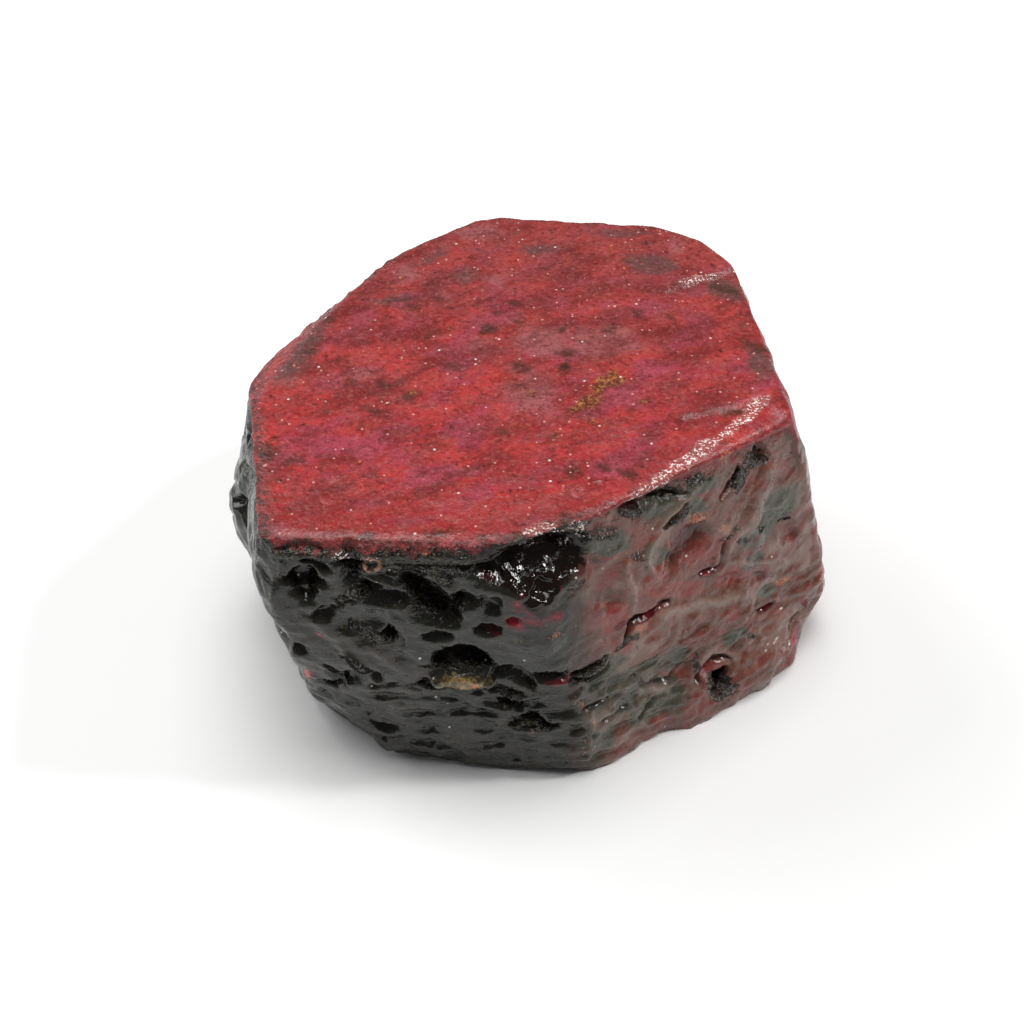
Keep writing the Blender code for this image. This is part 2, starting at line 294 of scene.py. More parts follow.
def path_distance(place, path):
    """How far each place on a side is from a path and above it, and how far along it is, 0 to 1."""
    nearest = np.full(len(place), 1e3)
    above, along = np.zeros(len(place)), np.zeros(len(place))
    lengths = [math.dist(start, end) for start, end in zip(path, path[1:])]
    for step, (start, end) in enumerate(zip(path, path[1:])):
        start = np.array(start)
        run = np.array(end) - start
        share = np.clip((place - start) @ run / (run @ run), 0.0, 1.0)
        offset = place - start - share[:, None] * run
        distance = np.linalg.norm(offset, axis=1)
        closer = distance < nearest
        above[closer] = offset[closer, 1]
        along[closer] = (sum(lengths[:step]) + share[closer] * lengths[step]) / sum(lengths)
        nearest = np.minimum(nearest, distance)
    return nearest, above, along


def taper(along):
    """Marks are widest half way along, and pointed at their ends."""
    return 1.0 - 0.6 * (2.0 * along - 1.0) ** 2


def side_place(side, points, normals):
    """Each point's (across, up) on a side, and how squarely its surface faces that way."""
    outward, across = bearing(side)
    place = np.stack([points @ across, points[:, 2]], axis=1)
    return place, fade(0.45, 0.75, normals @ outward)


mesh = stone.data
points = read_vectors(mesh.vertices, "co") / MM
normals = read_vectors(mesh.vertices, "normal")

# The outlines of all marks wander a little, as etched ones do.
WANDER, WANDER_SIZE = 0.22, 1.1
wander = np.stack([soft_noise(points + shift, WANDER_SIZE) for shift in (0.0, 31.0, 67.0)], axis=1)
wandered = points + WANDER * wander

# A hollow is deepest near its upper edge, so that its floor faces up.
UPPER_EDGE, WALL_CURVE = 0.8, 1.4
hollow = np.zeros(len(points))
for mark in HOLLOWS + tuple(other_hollows()):
    place, facing = side_place(mark.side, wandered, normals)
    distance, above, along = path_distance(place, mark.path)
    width = mark.half_width * (0.25 + taper(along))
    bowl = np.clip(1.0 - (distance / width) ** 2, 0.0, 1.0) ** WALL_CURVE
    bowl *= 1.0 + UPPER_EDGE * np.clip(above / width, -1.0, 1.0)
    hollow = np.maximum(hollow, mark.depth * bowl * facing)
lobe = np.zeros(len(points))
for mark in LOBES:
    place, facing = side_place(mark.side, wandered, normals)
    distance, _, _ = path_distance(place, mark.path)
    slope = 1.0 - fade(0.3, 1.1, distance / mark.half_width)
    lobe = np.maximum(lobe, mark.depth * slope * facing)
crest = np.zeros(len(points))
for mark in CRESTS:
    place, facing = side_place(mark.side, wandered, normals)
    distance, _, along = path_distance(place, mark.path)
    sharp = np.clip(1.0 - distance / mark.half_width / 1.5, 0.0, 1.0) * taper(along)
    crest = np.maximum(crest, sharp * facing)

# Scallops: round-bottomed cells that meet in ridges. They swirl round the stone, so that they
# climb to the right on the front right side and run level on the front left side.
SWIRL_HEIGHT = 5.2
SWIRL_START = math.radians(40)
SCALLOP_FLATNESS = 1.9
RIDGE_WIDTH = 1.3
turn = np.arctan2(points[:, 1], points[:, 0])
swirled = wandered.copy()
swirled[:, 2] -= SWIRL_HEIGHT * np.sin(2 * (turn + SWIRL_START))
swirled[:, 2] *= SCALLOP_FLATNESS


def scallops(size):
    """1 at the middle of each cell and 0 at the ridges between cells."""
    cells = [noise.voronoi(Vector(point) / size)[0] for point in swirled]
    return np.array([min(1.0, (second - first) * RIDGE_WIDTH) for first, second, *_ in cells])


# How squarely each place faces sideways, up, or the way that a side faces: from 0 to 1.
on_side = 1.0 - fade(0.3, 0.75, np.abs(normals[:, 2]))
on_top = fade(0.75, 0.95, normals[:, 2])
on_end_and_rim = fade(0.35, 0.60, normals[:, 2])
_, on_left = side_place(LEFT, points, normals)
_, on_right = side_place(RIGHT, points, normals)
front = np.maximum(on_left, on_right)

# How deep each kind of relief is, in millimetres. The scallops are shallower on the two front sides.
CREST_HEIGHT = 0.08
BIG_SCALLOP, SMALL_SCALLOP = 2.6, 0.95
LUMP_DEPTH, LUMP_SIZE = 0.24, 5.0
GRIT_DEPTH, GRIT_SIZE = 0.05, 0.7
ALLOWANCE = 0.17
big_scallop = scallops(BIG_SCALLOP)
small_scallop = scallops(SMALL_SCALLOP)
big_depth = 0.20 - 0.12 * front
small_depth = 0.08 - 0.02 * front
sunk = hollow - lobe - (CREST_HEIGHT + CREST_HEIGHT * on_right) * crest
sunk += big_depth * fade(0.0, 1.0, big_scallop) + small_depth * small_scallop
sunk += LUMP_DEPTH * (0.5 + soft_noise(points, LUMP_SIZE)) - ALLOWANCE - 0.01 * front
sunk += GRIT_DEPTH * soft_noise(points + 11.0, GRIT_SIZE)

# The lower part of the front left side is crumbled into fine level ledges.
LEDGE_TOP, LEDGE_FLATNESS = 6.5, 4.0
LEDGE_SIZE, FINE_LEDGE_SIZE = 1.5, 0.6
ledges = points + 17.0
ledges[:, 2] *= LEDGE_FLATNESS
low_part = fade(0.0, 1.5, LEDGE_TOP - points[:, 2]) * on_left
ledge_depth = 0.03 + 0.19 * low_part
fine_ledge_depth = 0.05 * low_part
sunk += ledge_depth * soft_noise(ledges, LEDGE_SIZE) + fine_ledge_depth * soft_noise(ledges, FINE_LEDGE_SIZE)

# Above that the same side is smooth and wavy, as the far sides are, and leans back a little
# towards its rim.
WAVE_DEPTH, WAVE_SIZE = 0.34, 1.25
LEAN_START, LEAN_BACK = 9.5, 0.10
long_waves = points * np.array((0.4, 0.4, 1.0)) + 43.0
sunk += (WAVE_DEPTH * (1.0 - on_right) - 0.16 * low_part) * soft_noise(long_waves, WAVE_SIZE)
sunk += on_left * LEAN_BACK * np.clip(points[:, 2] - LEAN_START, 0.0, None)

# The chip is broken, not grown, so it is rough all over. It is a slanting oval at the rim, and a
# smaller one below it.
chip_place, chip_facing = side_place(CHIP, wandered, normals)
chip_across = chip_place[:, 0] + 5.4
chip_up = chip_place[:, 1] - 12.5 + 0.15 * chip_across
upper_chip = 1.0 - fade(0.8, 1.1, np.hypot(chip_across / 2.75, chip_up / 1.35))
lower_across = (chip_place[:, 0] + 5.2) / 0.9
lower_up = (chip_place[:, 1] - 11.3) / 1.1
lower_chip = 1.0 - fade(0.7, 1.2, np.hypot(lower_across, lower_up))
chip = np.maximum(upper_chip, lower_chip) * chip_facing
broken = 0.16 * soft_noise(points + 3.0, 1.0) + 0.09 * soft_noise(points + 5.0, 0.4)
sunk += chip * (broken + 0.42 * np.clip(points[:, 2] - 10.9, 0.0, None))

# The flat ends: broad waves, a crystal grain, and two growth steps on the top.
STEPS = (((6.5, 6.0), (10.0, 8.0), 0.18), ((6.5, -4.0), (10.0, -2.5), 0.14))
STEP_WIDTH, STEP_FADE = 0.45, 2.5
end_relief = 0.10 * (0.5 + soft_noise(points, 4.0)) + 0.035 * (0.5 + soft_noise(points, 0.7))
for start, end, drop in STEPS:
    run = np.array(end) - np.array(start)
    length = np.linalg.norm(run)
    along = run / length
    place = wandered[:, :2] - np.array(start)
    beside = place @ np.array((along[1], -along[0]))
    beyond = np.abs(place @ along - length / 2) - length / 2
    near = (1.0 - fade(STEP_WIDTH, STEP_FADE, beside)) * (1.0 - fade(0.0, STEP_WIDTH, beyond))
    end_relief += drop * fade(0.0, 0.35, beside) * near

depth = on_side * sunk + (1 - on_side) * (hollow + chip * 0.1 - lobe) + on_top * end_relief
moved = points - normals * depth[:, None]
moved[:, 2] = np.clip(moved[:, 2], 0.0, HEIGHT)

# ---------------------------------------------------------------------------------------------
# Where each colour lies, kept on the mesh: how far a point is inside the red ends, how deep it
# is in a hollow, how near it is to a crest, the stains and clear patches of the skin, and
# the patches where sheen, reflections and glints are painted.
# ---------------------------------------------------------------------------------------------
from_side = np.full(len(points), 1e3)
for face in SIDES:
    place, normal = face_plane(face)
    from_side = np.minimum(from_side, (place - points) @ normal)
from_end = HEIGHT - points[:, 2]
for face in RIMS:
    place, normal = face_plane(face)
    from_end = np.minimum(from_end, (place - points) @ normal)
degrees = np.degrees(turn)
light_side = fade(-84.0, -72.0, degrees) * (1.0 - fade(20.0, 60.0, degrees))
upper = fade(5.0, 9.0, points[:, 2])
at_back = fade(-2.0, 4.0, points[:, 1])
wrap = 0.25 + 0.45 * at_back + light_side * (0.3 + 0.3 * upper) - 0.75 * on_left * upper
red_edge = np.maximum(from_side - from_end + wrap, from_side - points[:, 2] - 1.3)
dark_rim = 0.65 * fade(-150.0, -120.0, degrees) * (1 - light_side)
rim_soot = (1.0 - fade(0.2, 1.2, red_edge)) * on_top * (0.35 + dark_rim)


def keep(name, values):
    layer = mesh.attributes.new(name, "FLOAT", "POINT")
    layer.data.foreach_set("value", values.astype(np.float32))


# A patch lies at x, y on the top, or at across, up on a side, to the nearest half millimetre.
# Length and width are half its size in millimetres, and turn is how its length is turned, in
# degrees. Only the stone's main patches are placed one by one. The rest follow a seeded rule.
Patch = namedtuple("Patch", "side x y length width turn strength")
Scatter = namedtuple("Scatter", "count side x y length width turn strength")
TOP = None
PATCH_SEED = 31
patch_draw = random.Random(PATCH_SEED)


def scattered(*rules):
    """Patches whose place, size and turn are drawn between a rule's limits."""
    found = []
    for rule in rules:
        for _ in range(rule.count):
            limits = (rule.x, rule.y, rule.length, rule.width, rule.turn)
            drawn = [patch_draw.uniform(*pair) for pair in limits]
            found.append(Patch(rule.side, *drawn, rule.strength))
    return tuple(found)


BRIGHT = (
    Patch(TOP, -6.0, -0.5, 0.9, 0.8, 55, 1.0), Patch(TOP, -9.0, -3.5, 1.2, 0.5, 15, 1.0),
    Patch(TOP, -4.0, -6.0, 1.2, 0.7, 10, 1.0), Patch(TOP, 3.5, 5.5, 1.7, 0.6, 5, 1.0),
    Patch(TOP, 9.5, 4.0, 0.9, 0.8, 55, 0.8), Patch(TOP, 4.0, -4.0, 1.1, 0.6, 10, 0.8),
    Patch(TOP, 9.5, -5.5, 1.4, 0.4, 35, 1.1), Patch(TOP, -11.5, -8.0, 1.5, 0.4, -85, 1.0),
) + scattered(
    Scatter(14, TOP, (-12, 9), (-7, 10), (0.6, 1.3), (0.4, 0.6), (0, 60), 0.9),
    Scatter(3, TOP, (-9, -3), (-12.5, -11.5), (1.2, 1.8), (0.5, 0.5), (5, 20), 0.5),
)
MAGENTA = (
    Patch(TOP, -8.0, 3.5, 0.9, 0.6, 60, 0.9), Patch(TOP, -9.0, -6.0, 0.9, 0.6, 30, 1.0),
    Patch(TOP, -3.5, 0.0, 0.8, 0.8, 0, 0.9), Patch(TOP, -4.5, -8.0, 1.0, 0.7, 30, 0.9),
    Patch(TOP, 5.5, -0.5, 1.0, 0.8, 10, 0.9), Patch(TOP, 4.0, -2.5, 1.3, 0.8, 25, 1.0),
) + scattered(
    Scatter(15, TOP, (-9, 6), (-8, 8), (0.7, 1.1), (0.5, 0.7), (0, 60), 0.9),
)
# Where a milky sheen is painted over the red of the top.
SHEEN_HAZE = (
    Patch(TOP, 3.5, 1.5, 1.7, 1.3, 5, 1.0), Patch(TOP, 0.5, 1.5, 1.3, 1.3, 0, 1.0),
    Patch(TOP, 0.0, -2.5, 1.6, 1.2, 90, 0.9), Patch(TOP, -6.0, 7.0, 0.8, 0.7, 75, 0.9),
    Patch(TOP, -2.5, 11.0, 1.8, 0.7, 0, 0.7), Patch(TOP, 7.5, 9.5, 0.8, 0.5, 80, 0.8),
) + scattered(
    Scatter(8, TOP, (-11, 7), (-7, 9), (0.5, 0.8), (0.5, 0.6), (-90, 90), 0.7),
)
SLATE = (
    Patch(TOP, -10.5, 1.0, 2.7, 0.5, 70, 1.0), Patch(TOP, 6.0, 8.0, 1.2, 1.0, -15, 1.0),
    Patch(TOP, -6.5, 5.0, 1.1, 0.4, 30, 0.7), Patch(TOP, 0.5, 9.5, 1.1, 0.4, 10, 0.7),
    Patch(TOP, 4.5, 11.0, 1.8, 0.5, 0, 0.5), Patch(TOP, -3.0, 7.0, 0.8, 0.8, 0, 0.7),
    Patch(TOP, 9.5, 6.0, 1.2, 0.7, -60, 1.0), Patch(TOP, 10.5, 0.0, 1.4, 0.6, -75, 0.9),
    Patch(TOP, -5.0, 8.5, 1.4, 0.4, 45, 0.6),
)
DARK = (
    Patch(TOP, -6.0, 5.0, 0.8, 0.3, 15, 0.8), Patch(TOP, -2.0, 2.5, 0.6, 0.4, 60, 1.1),
    Patch(TOP, 1.5, -0.5, 0.4, 0.3, 90, 1.4), Patch(TOP, -11.5, -6.5, 0.8, 0.5, -55, 0.9),
    Patch(TOP, 9.5, 6.0, 1.0, 0.4, -45, 0.9), Patch(TOP, 10.5, 1.0, 0.9, 0.5, -30, 0.9),
    Patch(TOP, 9.0, -3.5, 0.9, 0.3, 15, 1.0),
) + scattered(
    Scatter(30, TOP, (-11.5, 7), (-8.5, 6.5), (0.3, 0.6), (0.2, 0.4), (-90, 90), 0.85),
    Scatter(9, TOP, (-10, 1), (-12.5, -11.5), (0.4, 0.7), (0.2, 0.3), (0, 30), 0.9),
)
GOLD = (
    Patch(LEFT, -2.5, 6.5, 1.1, 0.4, -5, 1.7), Patch(TOP, 3.5, -1.5, 0.7, 0.4, 30, 1.6),
    Patch(TOP, 4.0, -1.5, 0.4, 0.3, 80, 1.6), Patch(TOP, 3.0, -2.0, 0.5, 0.3, 45, 1.5),
    Patch(TOP, 2.5, -3.0, 0.6, 0.4, 45, 1.6), Patch(TOP, 2.0, -3.5, 0.4, 0.3, 30, 1.4),
    Patch(TOP, 2.5, -4.5, 0.4, 0.2, 60, 1.4), Patch(TOP, 0.0, -2.5, 0.2, 0.2, 0, 1.2),
) + scattered(
    Scatter(5, TOP, (-6, 9), (-6, 2), (0.2, 0.3), (0.15, 0.25), (-90, 90), 1.0),
)
# Where near-white glints are painted on the chip, the rims and the growth steps; there the surface is also
# smoother and faceted.
GLINTS_PAINTED_AND_FACETED = (
    Patch(CHIP, -5.0, 13.0, 0.4, 0.2, 10, 1.2), Patch(CHIP, -5.5, 12.5, 0.4, 0.1, 0, 0.7),
    Patch(CHIP, -4.0, 13.5, 0.4, 0.2, 0, 1.3), Patch(CHIP, -3.5, 12.5, 0.3, 0.2, 0, 1.0),
    Patch(CHIP, -3.0, 13.5, 0.5, 0.2, -20, 1.2), Patch(CHIP, -3.0, 13.0, 0.3, 0.2, -45, 1.2),
    Patch(TOP, 8.5, 7.0, 1.4, 0.2, 20, 1.0), Patch(TOP, 10.0, -3.0, 0.7, 0.3, 40, 1.2),
    Patch(TOP, 1.5, -9.0, 0.9, 0.7, 0, 0.3),
) + scattered(
    Scatter(9, TOP, (-0.5, 2.5), (-12, -11), (0.3, 0.5), (0.2, 0.3), (20, 60), 1.2),
    Scatter(6, TOP, (-8, -3.5), (-12.5, -12.5), (0.2, 0.4), (0.2, 0.2), (0, 30), 1.0),
) + tuple(Patch(TOP, 4.5 + step, -9.0 + step, 0.9, 0.3, 45, 1.1) for step in range(6))
PINK = (
    Patch(RIGHT, 1.0, 9.5, 1.4, 0.6, -35, 1.0), Patch(RIGHT, -4.0, 10.5, 1.3, 0.6, -35, 0.9),
    Patch(RIGHT, -4.0, 8.5, 1.6, 0.7, -25, 0.9), Patch(RIGHT, 0.0, 8.0, 1.9, 0.4, -30, 1.1),
    Patch(RIGHT, 3.5, 7.0, 1.3, 0.5, -20, 0.8), Patch(RIGHT, -1.0, 9.5, 0.6, 0.5, -70, 1.0),
    Patch(RIGHT, -0.5, 4.0, 0.8, 0.6, -70, 0.8), Patch(RIGHT, 2.5, 13.5, 1.0, 0.6, 0, 0.6),
    Patch(RIGHT, 9.0, 4.0, 0.7, 0.3, -75, 0.8), Patch(RIGHT, 7.0, 0.5, 1.5, 0.5, 10, 0.6),
) + scattered(
    Scatter(10, RIGHT, (-7, 8), (0.5, 12), (0.5, 1.0), (0.3, 0.5), (-40, -10), 0.6),
)
GREEN = (
    Patch(RIGHT, -3.5, 4.0, 2.6, 1.5, -20, 0.9), Patch(RIGHT, -1.5, 2.0, 2.0, 0.9, -5, 0.7),
    Patch(RIGHT, -3.5, 12.0, 1.3, 0.5, -25, 1.0), Patch(RIGHT, -0.5, 12.5, 1.4, 0.5, -20, 0.9),
    Patch(RIGHT, 6.0, 9.5, 1.5, 1.0, 0, 1.0), Patch(RIGHT, 5.0, 8.5, 1.2, 0.6, -10, 1.0),
    Patch(RIGHT, 5.5, 5.0, 0.8, 0.4, -40, 1.0), Patch(RIGHT, -4.0, 5.5, 1.5, 0.9, -25, 1.1),
    Patch(RIGHT, -5.0, 2.5, 2.2, 0.9, -85, 1.0), Patch(RIGHT, 1.5, 12.5, 1.4, 0.4, -5, 0.8),
    Patch(LEFT, 3.5, 2.5, 2.2, 0.8, 90, 0.9),
) + scattered(
    Scatter(6, RIGHT, (-5, 0.5), (2, 5), (0.6, 1.2), (0.4, 0.7), (-60, -10), 0.9),
    Scatter(6, RIGHT, (-2, 7.5), (3, 12), (0.6, 0.8), (0.4, 0.5), (-50, 0), 0.9),
)
# Pale streaks and spots on the front right side: painted reflections.
PALE_REFLECTIONS = (
    Patch(RIGHT, 5.0, 10.0, 1.5, 0.4, 50, 0.9), Patch(RIGHT, -0.5, 11.0, 1.2, 0.5, 50, 0.8),
    Patch(RIGHT, -2.5, 6.0, 1.3, 0.4, 70, 0.8), Patch(RIGHT, 1.0, 6.5, 2.7, 0.3, -15, 1.0),
    Patch(RIGHT, 6.5, 2.5, 1.9, 0.6, 5, 0.9), Patch(RIGHT, 4.5, 0.0, 1.3, 0.6, 10, 0.8),
    Patch(RIGHT, 8.0, 6.0, 1.4, 0.4, 85, 1.3), Patch(RIGHT, 2.5, 3.0, 1.1, 0.3, -30, 0.8),
    Patch(RIGHT, -2.5, 5.5, 1.6, 0.3, 15, 0.9), Patch(RIGHT, -4.5, 3.0, 1.1, 0.5, -25, 0.9),
    Patch(RIGHT, -3.0, 1.0, 1.2, 0.4, -5, 0.8),
) + scattered(
    Scatter(9, RIGHT, (-5, 8), (1, 12.5), (0.8, 1.2), (0.2, 0.4), (-40, 40), 0.7),
)
WINDOW = (
    Patch(RIGHT, -1.5, 7.5, 0.7, 0.3, 5, 1.1), Patch(RIGHT, 2.0, 8.0, 0.6, 0.3, 30, 1.0),
    Patch(RIGHT, 1.0, 3.5, 0.4, 0.2, -40, 1.2), Patch(RIGHT, 8.0, 3.0, 0.5, 0.2, -40, 1.3),
    Patch(RIGHT, 7.0, 1.5, 0.8, 0.3, 35, 1.2), Patch(RIGHT, 5.5, 13.5, 1.2, 0.3, -10, 0.9),
    Patch(RIGHT, 1.0, 13.5, 0.8, 0.3, -5, 0.9), Patch(LEFT, -1.5, 9.5, 0.7, 0.2, -20, 0.8),
    Patch(LEFT, -8.5, 9.0, 0.3, 0.1, -75, 1.2), Patch(UNDERCUT, -7.0, 6.0, 0.5, 0.3, 90, 1.3),
    Patch(CHIP, -8.0, 14.0, 0.8, 0.3, -10, 1.0), Patch(CHIP, -5.5, 10.5, 1.2, 0.7, -30, 0.6),
) + scattered(
    Scatter(12, CHIP, (-6.5, -4.5), (9.5, 11.5), (0.3, 0.6), (0.2, 0.3), (-45, 0), 1.0),
    Scatter(3, CHIP, (-8.5, -6.5), (12, 13), (0.4, 0.6), (0.15, 0.2), (-35, -20), 0.85),
    Scatter(7, RIGHT, (-7, 6), (0.5, 9), (0.4, 0.8), (0.12, 0.2), (-30, 0), 0.85),
)
ORANGE = (
    Patch(RIGHT, 1.5, 11.0, 0.7, 0.4, -25, 1.0), Patch(RIGHT, 3.0, 10.0, 0.6, 0.2, -60, 1.0),
    Patch(RIGHT, 6.5, 5.0, 0.7, 0.3, -20, 1.1), Patch(RIGHT, -3.5, 12.5, 0.4, 0.2, -30, 1.0),
    Patch(RIGHT, 0.5, 12.0, 0.4, 0.2, -15, 0.9), Patch(RIGHT, -2.0, 7.0, 0.5, 0.3, 10, 1.0),
    Patch(RIGHT, 3.0, 13.5, 0.5, 0.3, -5, 0.8), Patch(LEFT, -2.0, 6.5, 0.3, 0.2, -40, 1.3),
    Patch(LEFT, 0.5, 3.0, 0.2, 0.1, 90, 1.2), Patch(RIGHT, -6.5, 9.0, 0.4, 0.2, -20, 0.9),
    Patch(RIGHT, -5.5, 4.5, 0.9, 0.08, -70, 1.0), Patch(RIGHT, -5.0, 3.0, 0.5, 0.08, -65, 1.0),
    Patch(RIGHT, -5.5, 2.0, 0.7, 0.08, 80, 1.0), Patch(UNDERCUT, -7.0, 6.0, 0.4, 0.2, 90, 1.1),
)
SOOT = (
    Patch(RIGHT, 5.0, 12.5, 0.7, 0.4, -20, 1.1), Patch(RIGHT, 4.0, 12.0, 0.8, 0.3, 50, 1.1),
    Patch(RIGHT, 0.5, 11.5, 0.9, 0.2, 10, 1.1), Patch(RIGHT, -2.0, 13.0, 0.6, 0.4, -30, 1.1),
    Patch(RIGHT, -5.0, 13.0, 0.9, 0.4, -30, 1.2), Patch(RIGHT, -5.0, 6.0, 1.0, 0.3, 15, 1.1),
    Patch(RIGHT, 2.0, 1.5, 0.9, 0.6, -45, 1.2), Patch(RIGHT, 1.0, 3.0, 0.8, 0.2, 80, 0.9),
    Patch(RIGHT, -3.0, 6.5, 0.7, 0.2, 5, 1.0), Patch(RIGHT, 0.0, 13.0, 0.9, 0.3, -10, 0.9),
    Patch(RIGHT, 1.5, 13.0, 0.6, 0.3, -10, 0.9), Patch(RIGHT, -3.5, 12.5, 0.6, 0.4, -35, 0.8),
    Patch(LEFT, -7.0, 13.0, 1.1, 0.4, 90, 1.0), Patch(LEFT, -8.0, 13.5, 2.0, 0.4, 0, 1.0),
    Patch(LEFT, -5.5, 13.5, 1.6, 0.4, 0, 1.1), Patch(LEFT, -3.5, 13.0, 1.5, 0.5, -10, 1.1),
    Patch(LEFT, -1.5, 13.0, 1.1, 0.5, -10, 1.1), Patch(LEFT, -7.0, 11.0, 1.1, 0.4, 25, 0.8),
    Patch(LEFT, -4.0, 11.0, 1.3, 0.6, -45, 1.0), Patch(LEFT, -3.0, 10.5, 0.9, 0.5, 35, 0.7),
    Patch(LEFT, -3.5, 6.0, 1.3, 0.4, 0, 0.8), Patch(LEFT, 0.5, 3.5, 1.0, 0.4, 0, 1.1),
    Patch(LEFT, -0.5, 5.0, 0.7, 0.4, 5, 1.0), Patch(LEFT, -8.0, 6.5, 0.8, 0.2, -65, 1.0),
) + scattered(
    Scatter(10, RIGHT, (-6, 7), (2.5, 12.5), (0.3, 0.6), (0.1, 0.2), (-40, 20), 0.7),
    Scatter(10, LEFT, (-8, 0), (3.5, 12.5), (0.5, 1.1), (0.15, 0.4), (-40, 20), 0.85),
)


def patches(table):
    """The strongest patch at each point, fading from its middle to its rim."""
    found = np.zeros(len(points))
    for patch in table:
        if patch.side is TOP:
            place = wandered[:, :2]
            facing = on_end_and_rim
        else:
            place, facing = side_place(patch.side, wandered, normals)
        angle = math.radians(patch.turn)
        offset = place - np.array((patch.x, patch.y))
        long_way = offset @ np.array((math.cos(angle), math.sin(angle))) / patch.length
        short_way = offset @ np.array((-math.sin(angle), math.cos(angle))) / patch.width
        rim = 1.0 - fade(0.3, 1.5, np.hypot(long_way, short_way))
        found = np.maximum(found, patch.strength * rim * facing)
    return found


keep("red_edge", red_edge)
keep("hollow", np.clip(hollow, 0.0, 1.0))
# The crests and the rims of the scallops outside the hollows are where a pale highlight is painted.
scallop_rim = 0.35 * (1.0 - fade(0.0, 0.25, big_scallop)) * on_side
keep("crest", np.maximum(crest, scallop_rim * (1.0 - fade(0.0, 0.2, hollow))))
keep("light_side", light_side)
keep("dark", np.maximum(patches(DARK), rim_soot))
keep("back", fade(-6.0, 12.0, points[:, 1]))
keep("front", 1.0 - fade(-12.5, -7.0, points[:, 1]))
keep("far_side", light_side * (1.0 - on_right))
keep("steep", 1.0 - fade(0.15, 0.45, normals[:, 2]))
TABLES = {
    "bright": BRIGHT, "magenta": MAGENTA, "painted_sheen_haze": SHEEN_HAZE, "slate": SLATE, "gold": GOLD, "glints_painted_and_faceted": GLINTS_PAINTED_AND_FACETED,
    "pink": PINK, "green": GREEN, "pale": PALE_REFLECTIONS, "window": WINDOW, "orange": ORANGE, "soot": SOOT,
}
for name, table in TABLES.items():
    keep(name, patches(table))
keep("chip", chip)
rim_crumbs = fade(-0.9, -0.3, red_edge) * (1.0 - fade(0.5, 1.1, red_edge))
keep("crumbs", rim_crumbs * (1.0 - 0.5 * light_side))

mesh.vertices.foreach_set("co", (moved * MM).astype(np.float32).ravel())
mesh.update()
TRIANGLES = 194000
apply_modifier(stone, "DECIMATE", ratio=TRIANGLES / (2 * len(mesh.polygons)))
bpy.ops.object.shade_smooth()

# A bubble in the rind burst and left a small ring near the rim.
RING_ACROSS_UP = np.array((-6.1, 12.9))
stone_points = read_vectors(stone.data.vertices, "co") / MM
ring_place, ring_facing = side_place(LEFT, stone_points, read_vectors(stone.data.vertices, "normal"))
from_ring_middle = np.hypot(*(ring_place - RING_ACROSS_UP).T)
ring_vertex = int(np.argmin(from_ring_middle + 9.0 * (1.0 - ring_facing)))

# The stone lies where the frame's stone lies: on the floor, with the same middle.
corners = read_vectors(stone.data.vertices, "co")
low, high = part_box("ruby_crystal")
shift = (Vector(low) + Vector(high)) / 2 - Vector((corners.min(axis=0) + corners.max(axis=0)) / 2)
shift.z = low[2] - corners[:, 2].min()
stone.location = shift
bpy.ops.object.transform_apply(location=True, rotation=False, scale=False)
ring_middle = stone.data.vertices[ring_vertex].co

# ---------------------------------------------------------------------------------------------
# The finish: frosted red ends, a black glossy rind on the left, and a waxy grey-green and
# dusty red skin on the right, all under the thin wax that dealers rub on rough stones.
# ---------------------------------------------------------------------------------------------
ruby = bpy.data.materials.new("waxed_ruby")
ruby.use_nodes = True
tree = ruby.node_tree
shader = tree.nodes["Principled BSDF"]


def add(kind, inputs=(), **settings):
    """A node with its settings. Inputs are pairs: a name or number, and a value or a link."""
    made = tree.nodes.new(kind)
    for name, value in settings.items():
        setattr(made, name, value)
    for key, value in inputs:
        if isinstance(value, bpy.types.NodeSocket):
            tree.links.new(value, made.inputs[key])
        else:
            made.inputs[key].default_value = value
    return made


def sums(operation, first, second):
    return add("ShaderNodeMath", ((0, first), (1, second)), operation=operation).outputs[0]


def spread(value, low, high, to_low=0.0, to_high=1.0):
    limits = (("From Min", low), ("From Max", high), ("To Min", to_low), ("To Max", to_high))
    ranged = add("ShaderNodeMapRange", (("Value", value), *limits), interpolation_type="SMOOTHSTEP")
    return ranged.outputs["Result"]


def blend(share, under, over):
    """Colours mixed by a share, where a plain colour is three numbers."""
    pair = [(*colour, 1.0) if isinstance(colour, tuple) else colour for colour in (under, over)]
    mixed = add("ShaderNodeMix", ((0, share), (6, pair[0]), (7, pair[1])), data_type="RGBA")
    return mixed.outputs[2]


def lay(under, over, share, strength):
    """A colour laid over another where share says, at most as strongly as strength."""
    return blend(sums("MULTIPLY", share, strength), under, over)


def stored(name):
    return add("ShaderNodeAttribute", attribute_name=name).outputs["Fac"]


object_place = add("ShaderNodeTexCoord").outputs["Object"]


def pattern_place(size, shift, stretch=(1, 1, 1), turn=0.0):
    """Places for a pattern whose unit is size millimetres, turned and then stretched."""
    turned = add("ShaderNodeMapping", (("Vector", object_place),
                                       ("Rotation", (0, 0, -math.radians(turn)))))
    scale = tuple(1.0 / (size * MM * part) for part in stretch)
    sized = add("ShaderNodeMapping", (("Vector", turned.outputs[0]), ("Scale", scale),
                                      ("Location", (shift, shift, shift))))
    return sized.outputs[0]


def waves(size, shift, detail=4.0, roughness=0.6, **placing):
    """Cloudy noise of about 0.2 to 0.8."""
    settings = (("Vector", pattern_place(size, shift, **placing)), ("Scale", 1.0),
                ("Detail", detail), ("Roughness", roughness))
    return add("ShaderNodeTexNoise", settings).outputs["Fac"]


